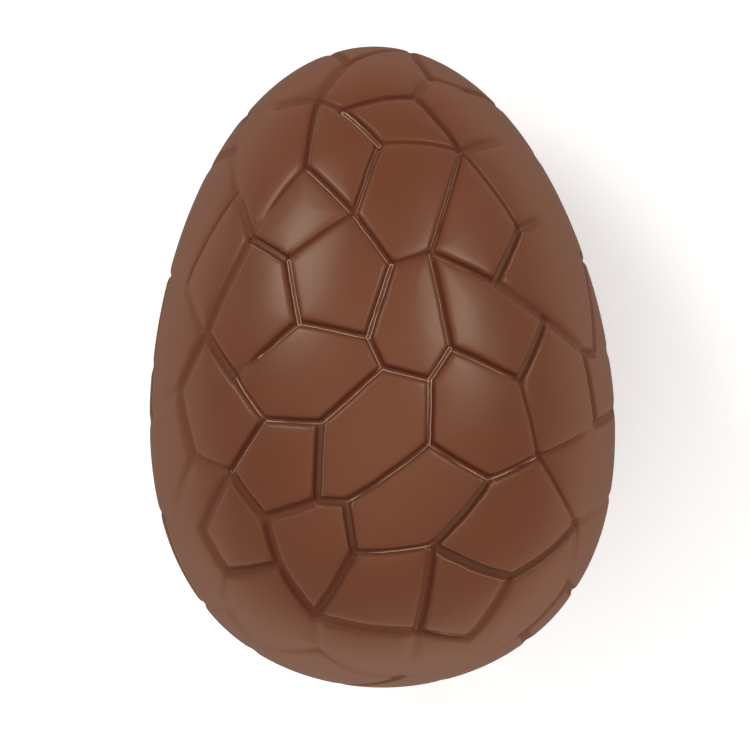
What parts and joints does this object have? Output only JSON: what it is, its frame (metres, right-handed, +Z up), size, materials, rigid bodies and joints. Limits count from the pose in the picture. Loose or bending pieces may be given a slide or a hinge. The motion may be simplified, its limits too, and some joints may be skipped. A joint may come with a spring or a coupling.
{
  "type": "chocolate egg",
  "caption": "Moulded milk-chocolate egg with a crazy-paving crackle of raised tiles and grooves, lying on its side as a sweet or an Easter gift.",
  "frame": {"origin": "centre of the egg's bounding box seen from above, at the height of the small flat that the egg rests on", "axes": "+Z up from the surface it rests on, +Y along the long axis towards the pointed end, +X to the right when the pointed end is held upwards and the shown side faces the viewer"},
  "size_m": [0.0874, 0.12, 0.0874],
  "materials": {
    "chocolate": "satin"
  },
  "bodies": {
    "root": {"egg": "chocolate"}
  },
  "joints": []
}
